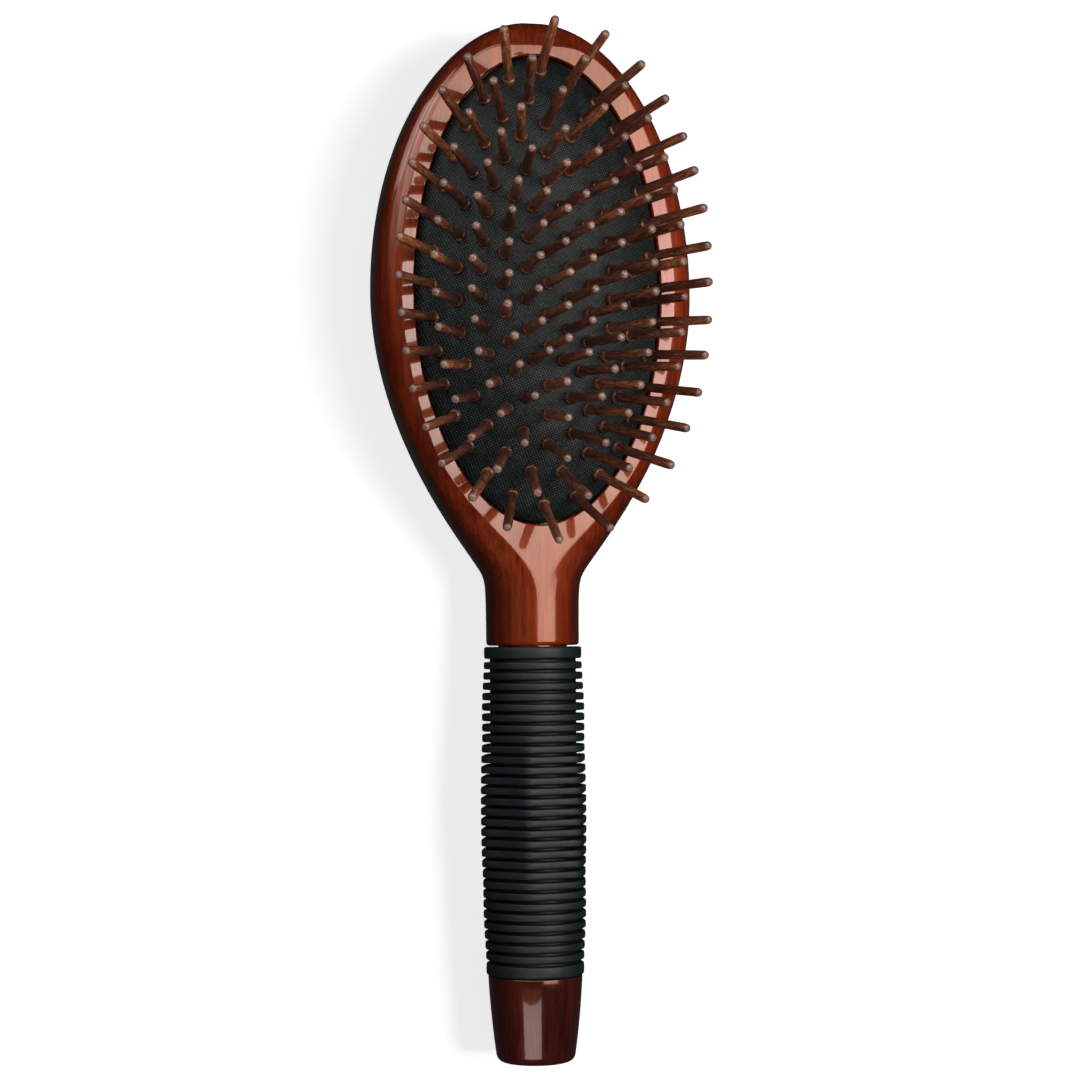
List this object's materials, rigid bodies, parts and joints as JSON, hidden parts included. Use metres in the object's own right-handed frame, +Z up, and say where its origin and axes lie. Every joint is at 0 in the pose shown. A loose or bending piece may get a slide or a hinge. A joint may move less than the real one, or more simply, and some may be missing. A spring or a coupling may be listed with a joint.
{
  "type": "wooden pin brush",
  "caption": "Oval cushion hairbrush: lacquered wooden head and neck, crowned air cushion set with fanned wooden pins, ribbed rubber grip and dark wooden end cap.",
  "frame": {"origin": "middle of the brush's box, on the surface that its back lies on", "axes": "+Y along the handle to the tip of the head, +Z up through the pins, X across the head"},
  "size_m": [0.0752, 0.2408, 0.0508],
  "materials": {
    "lacquered_wood": "clear gloss lacquer over red-brown wood",
    "dark_wood": "clear gloss lacquer over dark red-brown wood",
    "grip_rubber": "matte charcoal rubber",
    "cushion_rubber": "matte charcoal with a fine woven texture",
    "pin_wood": "satin brown wood with grain"
  },
  "bodies": {
    "brush_body": {"wooden_body": "lacquered_wood", "grip_sleeve": "grip_rubber", "end_cap": "dark_wood", "cushion_edge": "cushion_rubber"},
    "cushion_row_1": {"pin_row_1_tip": "pin_wood", "pin_row_1_left": "pin_wood", "pin_row_1_neck": "pin_wood", "pin_row_1_right": "pin_wood"},
    "cushion_row_2": {"pin_row_2_tip": "pin_wood", "pin_row_2_left": "pin_wood", "pin_row_2_neck": "pin_wood", "pin_row_2_right": "pin_wood"},
    "cushion_row_3": {"pin_row_3_tip": "pin_wood", "pin_row_3_left": "pin_wood", "pin_row_3_neck": "pin_wood", "pin_row_3_right": "pin_wood"},
    "cushion_row_4": {"pin_row_4_tip": "pin_wood", "pin_row_4_left": "pin_wood", "pin_row_4_neck": "pin_wood", "pin_row_4_right": "pin_wood"},
    "cushion_row_5": {"pin_row_5_tip": "pin_wood", "pin_row_5_left": "pin_wood", "pin_row_5_neck": "pin_wood", "pin_row_5_right": "pin_wood"},
    "cushion_middle": {"pin_row_middle": "pin_wood"}
  },
  "joints": [
    {"name": "cushion_press", "type": "slide", "parent": "brush_body", "child": "cushion_middle", "axis": [0, 0, -1], "range_m": [0, 0.005], "stiffness_N_per_m": 1200},
    {"name": "cushion_press_row_1", "type": "slide", "parent": "brush_body", "child": "cushion_row_1", "axis": [0, 0, -1], "range_m": [0, 0.0014]},
    {"name": "cushion_press_row_2", "type": "slide", "parent": "brush_body", "child": "cushion_row_2", "axis": [0, 0, -1], "range_m": [0, 0.00297]},
    {"name": "cushion_press_row_3", "type": "slide", "parent": "brush_body", "child": "cushion_row_3", "axis": [0, 0, -1], "range_m": [0, 0.00403]},
    {"name": "cushion_press_row_4", "type": "slide", "parent": "brush_body", "child": "cushion_row_4", "axis": [0, 0, -1], "range_m": [0, 0.00466]},
    {"name": "cushion_press_row_5", "type": "slide", "parent": "brush_body", "child": "cushion_row_5", "axis": [0, 0, -1], "range_m": [0, 0.00495]}
  ],
  "couplings": [
    {"joint": "cushion_press_row_1", "follows": "cushion_press", "ratio": 0.2796},
    {"joint": "cushion_press_row_2", "follows": "cushion_press", "ratio": 0.5922},
    {"joint": "cushion_press_row_3", "follows": "cushion_press", "ratio": 0.8042},
    {"joint": "cushion_press_row_4", "follows": "cushion_press", "ratio": 0.9304},
    {"joint": "cushion_press_row_5", "follows": "cushion_press", "ratio": 0.9881}
  ]
}
